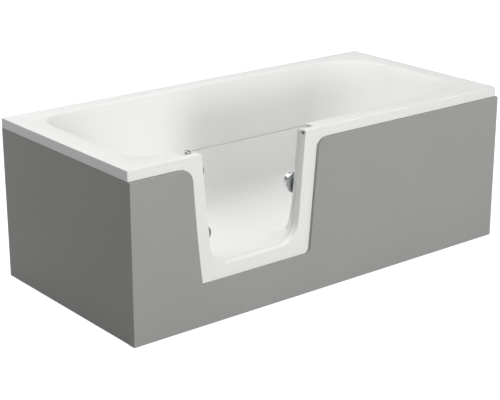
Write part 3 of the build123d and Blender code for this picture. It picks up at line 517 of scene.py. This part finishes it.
def merged_copy(node):
    """A welded copy of a node's mesh, its flat faces joined."""
    work = bmesh.new()
    work.from_mesh(NODES[node].data)
    bmesh.ops.remove_doubles(work, verts=work.verts, dist=WELD_REACH)
    bmesh.ops.dissolve_limit(
        work, angle_limit=radians(FLAT_ANGLE), verts=work.verts, edges=work.edges,
        use_dissolve_boundaries=False)
    mesh = bpy.data.meshes.new(node + "_looks")
    work.to_mesh(mesh)
    work.free()
    if "custom_normal" in mesh.attributes:
        mesh.attributes.remove(mesh.attributes["custom_normal"])
    return mesh


def refined(node, finish, edge=0.0, angle=SMOOTH_ANGLE):
    """A welded copy of a node with its edges eased, standing for the node."""
    piece = new_piece(node + "_piece", merged_copy(node), [finish])
    if edge:
        bevel = piece.modifiers.new("eased", "BEVEL")
        bevel.width = edge
        bevel.segments = EASED_STEPS
        bevel.limit_method = "ANGLE"
        bevel.angle_limit = radians(EASED_ANGLE)
        bevel.use_clamp_overlap = True
        baked(piece)
    smooth(piece.data, angle)
    fit(piece, node)


def all_refined(finish, nodes, edge=0.0):
    """Each of the nodes refined, with the same finish."""
    for node in nodes:
        refined(node, finish, edge)


def turned_mesh(name, profile, sides):
    """An upright turned mesh: the profile's points are height along Z and radius."""
    work = bmesh.new()
    rings = []
    step = 2 * pi / sides
    for along, radius in profile:
        if radius == 0:
            rings.append([work.verts.new((0, 0, along))])
            continue
        places = [(radius * cos(i * step), radius * sin(i * step), along) for i in range(sides)]
        rings.append([work.verts.new(place) for place in places])
    for low, high in zip(rings, rings[1:]):
        for i in range(sides):
            j = (i + 1) % sides
            corners = [low[i % len(low)], low[j % len(low)], high[j % len(high)], high[i % len(high)]]
            work.faces.new(list(dict.fromkeys(corners)))
    bmesh.ops.recalc_face_normals(work, faces=work.faces)
    mesh = bpy.data.meshes.new(name)
    work.to_mesh(mesh)
    work.free()
    return mesh


def grouped(work):
    """The vertices of each separate solid, in the order of the mesh."""
    left = dict.fromkeys(work.verts)
    groups = []
    while left:
        front = [next(iter(left))]
        del left[front[0]]
        group = list(front)
        while front:
            vertex = front.pop()
            for edge in vertex.link_edges:
                other = edge.other_vert(vertex)
                if other in left:
                    del left[other]
                    front.append(other)
                    group.append(other)
        groups.append(group)
    return groups


def box_of(group):
    """The lowest and highest corner of some vertices."""
    low = Vector([min(v.co[k] for v in group) for k in range(3)])
    high = Vector([max(v.co[k] for v in group) for k in range(3)])
    return low, high


def like_solids(node):
    """A node's first solid moved to the origin, the middles of all its solids, and their size."""
    work = bmesh.new()
    work.from_mesh(merged_copy(node))
    groups = grouped(work)
    boxes = [box_of(group) for group in groups]
    sizes = [high - low for low, high in boxes]
    if any((size - sizes[0]).length > SIZE_SLACK for size in sizes):
        raise RuntimeError("the solids of " + node + " differ")
    keep = set(groups[0])
    bmesh.ops.delete(work, geom=[v for v in work.verts if v not in keep], context="VERTS")
    work.transform(Matrix.Translation(-(boxes[0][0] + boxes[0][1]) / 2))
    mesh = bpy.data.meshes.new(node + "_pattern")
    work.to_mesh(mesh)
    work.free()
    return mesh, [(low + high) / 2 for low, high in boxes], sizes[0]


class Tree:
    """A Geometry Nodes tree with named inputs, built by short calls."""

    def __init__(self, name):
        self.group = bpy.data.node_groups.new(name, "GeometryNodeTree")
        self.face = self.group.interface
        self.face.new_socket("Geometry", in_out="INPUT", socket_type="NodeSocketGeometry")
        self.face.new_socket("Geometry", in_out="OUTPUT", socket_type="NodeSocketGeometry")
        self.start = self.group.nodes.new("NodeGroupInput")
        self.end = self.group.nodes.new("NodeGroupOutput")

    def size(self, name, kind):
        """Adds a named input and gives the socket that carries it."""
        self.face.new_socket(name, in_out="INPUT", socket_type=kind)
        return self.start.outputs[name]

    def add(self, kind, inputs=None, **settings):
        """Adds a node with its settings, then the values or links of its sockets."""
        node = self.group.nodes.new(kind)
        for key, value in settings.items():
            setattr(node, key, value)
        for key, value in (inputs or {}).items():
            if isinstance(value, bpy.types.NodeSocket):
                self.group.links.new(value, node.inputs[key])
            else:
                node.inputs[key].default_value = value
        return node

    def close(self, geometry):
        """Realizes the instances, sets the finish and ends the tree."""
        real = self.add("GeometryNodeRealizeInstances", {"Geometry": geometry})
        finish = self.size("Finish", "NodeSocketMaterial")
        values = {"Geometry": real.outputs[0], "Material": finish}
        painted = self.add("GeometryNodeSetMaterial", values)
        self.group.links.new(painted.outputs[0], self.end.inputs[0])

    def run(self, piece, values):
        """Puts the tree on a piece with its values, and turns the result into a plain mesh."""
        modifier = piece.modifiers.new(self.group.name, "NODES")
        modifier.node_group = self.group
        for item in self.face.items_tree:
            if item.item_type == "SOCKET" and item.in_out == "INPUT" and item.name in values:
                modifier[item.identifier] = values[item.name]
        return baked(piece)


def copies_on_points(node, points, pattern, finish):
    """Copies of one pattern mesh on the middles of a node's solids, set out by a node tree."""
    holder = bpy.data.meshes.new(node + "_points")
    holder.from_pydata([tuple(point) for point in points], [], [])
    piece = new_piece(node + "_piece", holder, [finish])
    source = bpy.data.objects.new(node + "_source", pattern)
    bpy.context.scene.collection.objects.link(source)
    tree = Tree(node + "_tree")
    chosen = tree.size("Pattern", "NodeSocketObject")
    info = tree.add("GeometryNodeObjectInfo", {"Object": chosen})
    dots = tree.add("GeometryNodeMeshToPoints", {"Mesh": tree.start.outputs["Geometry"]})
    values = {"Points": dots.outputs[0], "Instance": info.outputs["Geometry"]}
    set_out = tree.add("GeometryNodeInstanceOnPoints", values)
    tree.close(set_out.outputs[0])
    mesh = tree.run(piece, {"Pattern": source, "Finish": finishes()[finish]})
    bpy.data.objects.remove(source)
    smooth(mesh)
    fit(piece, node)


def repeated(node, finish):
    """The like solids of a node as copies of its first one."""
    pattern, middles, _ = like_solids(node)
    copies_on_points(node, middles, pattern, finish)


def threaded(length, radius, depth, pitch):
    """The profile of a threaded rod round its middle."""
    turns = int(length / pitch) - 1
    start = -turns * pitch / 2
    profile = [(-length / 2, 0), (-length / 2, radius - depth)]
    for turn in range(turns):
        profile += [(start + turn * pitch, radius - depth), (start + (turn + 0.5) * pitch, radius)]
    profile += [(start + turns * pitch, radius - depth), (length / 2, radius - depth)]
    return profile + [(length / 2, 0)]


def socketed(pattern, facing, share):
    """Cuts a hexagon socket into the flat face of a screw's head."""
    work = bmesh.new()
    work.from_mesh(pattern)
    flats = [face for face in work.faces if face.normal.dot(facing) > LOOKS_ALONG]
    heights = {face: round(face.calc_center_median().dot(facing), HEIGHT_DIGITS) for face in flats}
    top = max(flats, key=lambda face: (heights[face], face.calc_area()))
    middle = top.calc_center_median()
    reach = min((v.co - middle).length for v in top.verts) * share
    side = facing.orthogonal().normalized()
    corners = range(SOCKET_SIDES)
    turn = [Matrix.Rotation(k * 2 * pi / SOCKET_SIDES, 3, facing) @ side * reach for k in corners]
    rim = list(top.verts)
    hexagon = [work.verts.new(middle + step) for step in turn]
    floor = [work.verts.new(middle + step - facing * reach * SOCKET_DEPTH) for step in turn]
    bmesh.ops.delete(work, geom=[top], context="FACES_ONLY")
    ways = [(v.co - middle).normalized() for v in rim]
    near = [min(corners, key=lambda k: (turn[k].normalized() - way).length) for way in ways]
    for i, vertex in enumerate(rim):
        j = (i + 1) % len(rim)
        if near[i] == near[j]:
            work.faces.new([vertex, rim[j], hexagon[near[i]]])
        else:
            work.faces.new([vertex, rim[j], hexagon[near[j]], hexagon[near[i]]])
    for k in corners:
        m = (k + 1) % SOCKET_SIDES
        work.faces.new([hexagon[k], hexagon[m], floor[m], floor[k]])
    work.faces.new(floor)
    bmesh.ops.recalc_face_normals(work, faces=work.faces)
    work.to_mesh(pattern)
    work.free()
    return pattern


class BATHTUB_OT_shell(Operator):
    """Make the moulded shell with its rim, basin and door surround"""

    bl_idname = "bathtub.shell"
    bl_label = "Shell"

    def execute(self, context):
        refined("tub_shell", "gloss_acrylic", angle=SHELL_SMOOTH_ANGLE)
        return {"FINISHED"}


class BATHTUB_OT_panels(Operator):
    """Make the front panel and the two end panels"""

    bl_idname = "bathtub.panels"
    bl_label = "Panels"

    def execute(self, context):
        all_refined("satin_panel", ("front_panel", "left_end_panel", "right_end_panel"))
        return {"FINISHED"}


class BATHTUB_OT_glass(Operator):
    """Make the door pane with its ground edges"""

    bl_idname = "bathtub.glass"
    bl_label = "Door glass"

    def execute(self, context):
        looks = ["door_pane", "pane_edge"]
        piece = new_piece("door_glass_piece", merged_copy("door_glass"), looks)
        for face in piece.data.polygons:
            side = "door_pane" if abs(face.normal.y) > LOOKS_ALONG else "pane_edge"
            face.material_index = looks.index(side)
        smooth(piece.data)
        fit(piece, "door_glass")
        return {"FINISHED"}


class BATHTUB_OT_fittings(Operator):
    """Make the hinges, the latch and the keeper"""

    bl_idname = "bathtub.fittings"
    bl_label = "Door fittings"

    def execute(self, context):
        sizes = context.scene.tub_sizes
        cast = ("hinge_bracket_upper", "hinge_bracket_lower", "hinge_arm_upper", "hinge_arm_lower")
        turned = ("hinge_rod", "hinge_cap", "hinge_bolts", "hinge_nuts", "latch_rosette",
                  "latch_knob", "latch_bush")
        inner = ("latch_spindle", "latch_cam", "latch_screw", "latch_keeper")
        all_refined("plated_chrome", cast, sizes.metal_edge)
        all_refined("plated_chrome", turned)
        all_refined("brushed_steel", inner)
        self.screws(sizes)
        refined("hinge_pads", "rubber_dusty")
        return {"FINISHED"}

    def screws(self, sizes):
        """The screws of the hinges and the keeper, each with a hexagon socket in its head."""
        for node in ("hinge_bracket_screws", "keeper_screws"):
            pattern, middles, _ = like_solids(node)
            screw = socketed(pattern, Vector((0, 1, 0)), sizes.socket_share)
            copies_on_points(node, middles, screw, "brushed_steel")


class BATHTUB_OT_seal(Operator):
    """Make the rubber seal round the doorway"""

    bl_idname = "bathtub.seal"
    bl_label = "Door seal"

    def execute(self, context):
        refined("door_gasket", "rubber_pale")
        return {"FINISHED"}


class BATHTUB_OT_drain(Operator):
    """Make the waste, the trap, the outlet and the overflow"""

    bl_idname = "bathtub.drain"
    bl_label = "Waste and overflow"

    def execute(self, context):
        plated = ("waste_flange", "waste_plug", "overflow_rosette", "overflow_knob")
        moulded = ("waste_body", "trap_body", "trap_cover", "trap_nut", "outlet_nut", "outlet_pipe",
                   "overflow_body", "overflow_pipe")
        all_refined("plated_chrome", plated)
        all_refined("moulded_pale", moulded)
        all_refined("rubber_dark", ("waste_seal", "overflow_seal"))
        return {"FINISHED"}


class BATHTUB_OT_support(Operator):
    """Make the steel frame, its feet, the timber and the clips"""

    bl_idname = "bathtub.support"
    bl_label = "Support"

    def execute(self, context):
        sizes = context.scene.tub_sizes
        steel = ("frame_rail_front", "frame_rail_back", "frame_cross_beams", "frame_uprights")
        lengthwise = ("base_board", "rim_batten_front_left", "rim_batten_front_right",
                      "rim_batten_back", "threshold_support")
        crosswise = ("rim_batten_left", "rim_batten_right")
        pressed = ("panel_clips", "panel_stays", "wall_bracket_left", "wall_bracket_right")
        all_refined("powder_coat", steel)
        all_refined("timber_along", lengthwise, sizes.timber_edge)
        all_refined("timber_across", crosswise, sizes.timber_edge)
        all_refined("zinc_plate", pressed)
        self.feet(sizes)
        return {"FINISHED"}

    def feet(self, sizes):
        """The feet: their lock nuts, threaded studs and pads."""
        repeated("foot_nuts", "zinc_plate")
        _, middles, size = like_solids("foot_studs")
        profile = threaded(size.z, size.x / 2, sizes.thread_depth, sizes.thread_pitch)
        rod = turned_mesh("stud", profile, sizes.turned_sides)
        copies_on_points("foot_studs", middles, rod, "zinc_plate")
        repeated("foot_pads", "moulded_black")


class BATHTUB_OT_stage(Operator):
    """Set the camera, the floor and the lights"""

    bl_idname = "bathtub.stage"
    bl_label = "Stage"

    def execute(self, context):
        stage = context.scene.tub_stage
        self.camera(context, stage)
        self.floor(stage)
        self.lights(context, stage)
        self.sky(context, stage)
        context.scene.view_settings.view_transform = "Standard"
        return {"FINISHED"}

    def camera(self, context, stage):
        """The camera at the photograph's angle."""
        data = bpy.data.cameras.new("camera")
        data.lens = stage.lens
        data.sensor_width = SENSOR_WIDTH
        data.clip_end = VIEW_REACH
        camera = bpy.data.objects.new("camera", data)
        context.scene.collection.objects.link(camera)
        camera.location = stage.camera_place
        ahead = Vector(stage.camera_aim) - Vector(stage.camera_place)
        camera.rotation_euler = ahead.to_track_quat("-Z", "Y").to_euler()
        context.scene.camera = camera

    def floor(self, stage):
        """A wide square floor just under the feet."""
        mesh = bpy.data.meshes.new("floor")
        signs = [(-1, -1), (1, -1), (1, 1), (-1, 1)]
        corners = [(x * FLOOR_REACH, y * FLOOR_REACH, -FLOOR_DROP) for x, y in signs]
        mesh.from_pydata(corners, [], [(0, 1, 2, 3)])
        floor = bpy.data.objects.new("floor", mesh)
        bpy.context.scene.collection.objects.link(floor)
        mesh.materials.append(studio_floor(stage))

    def lights(self, context, stage):
        """The lamps, all turned to the middle of the tub."""
        for name, (place, size) in LAMPS.items():
            data = bpy.data.lights.new("lamp_" + name, "AREA")
            data.shape = "SQUARE"
            data.size = size
            data.energy = getattr(stage, name)
            lamp = bpy.data.objects.new("lamp_" + name, data)
            context.scene.collection.objects.link(lamp)
            lamp.location = place
            lamp.rotation_euler = (LAMP_AIM - lamp.location).to_track_quat("-Z", "Y").to_euler()

    def sky(self, context, stage):
        """Plain light from all round, which the camera sees as white."""
        world = bpy.data.worlds.new("sky")
        context.scene.world = world
        world.use_nodes = True
        nodes = world.node_tree.nodes
        links = world.node_tree.links
        plain = nodes["Background"]
        plain.inputs["Color"].default_value = WHITE
        plain.inputs["Strength"].default_value = stage.sky
        white = nodes.new("ShaderNodeBackground")
        white.inputs["Strength"].default_value = 1.0
        path = nodes.new("ShaderNodeLightPath")
        mixed = nodes.new("ShaderNodeMixShader")
        links.new(path.outputs["Is Camera Ray"], mixed.inputs[0])
        links.new(plain.outputs[0], mixed.inputs[1])
        links.new(white.outputs[0], mixed.inputs[2])
        links.new(mixed.outputs[0], nodes["World Output"].inputs["Surface"])


OPERATORS = (
    BATHTUB_OT_shell,
    BATHTUB_OT_panels,
    BATHTUB_OT_glass,
    BATHTUB_OT_fittings,
    BATHTUB_OT_seal,
    BATHTUB_OT_drain,
    BATHTUB_OT_support,
    BATHTUB_OT_stage,
)


class BATHTUB_PT_pieces(Panel):
    """Lists the operators in the sidebar"""

    bl_idname = "BATHTUB_PT_pieces"
    bl_label = "Walk-in bathtub"
    bl_space_type = "VIEW_3D"
    bl_region_type = "UI"
    bl_category = "Bathtub"

    def draw(self, context):
        """One button for each operator."""
        for operator in OPERATORS:
            self.layout.operator(operator.bl_idname)


CLASSES = (TubColours, TubSizes, StageSettings, *OPERATORS, BATHTUB_PT_pieces)


def register():
    """Registers the classes and hangs the settings on the scene."""
    for cls in CLASSES:
        bpy.utils.register_class(cls)
    bpy.types.Scene.tub_colours = PointerProperty(type=TubColours)
    bpy.types.Scene.tub_sizes = PointerProperty(type=TubSizes)
    bpy.types.Scene.tub_stage = PointerProperty(type=StageSettings)


def unregister():
    """Undoes register, in the opposite order."""
    del bpy.types.Scene.tub_stage
    del bpy.types.Scene.tub_sizes
    del bpy.types.Scene.tub_colours
    for cls in reversed(CLASSES):
        bpy.utils.unregister_class(cls)


def main():
    """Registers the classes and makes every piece."""
    register()
    bpy.ops.bathtub.shell()
    bpy.ops.bathtub.panels()
    bpy.ops.bathtub.glass()
    bpy.ops.bathtub.fittings()
    bpy.ops.bathtub.seal()
    bpy.ops.bathtub.drain()
    bpy.ops.bathtub.support()
    bpy.ops.bathtub.stage()


if __name__ == "__main__":
    main()
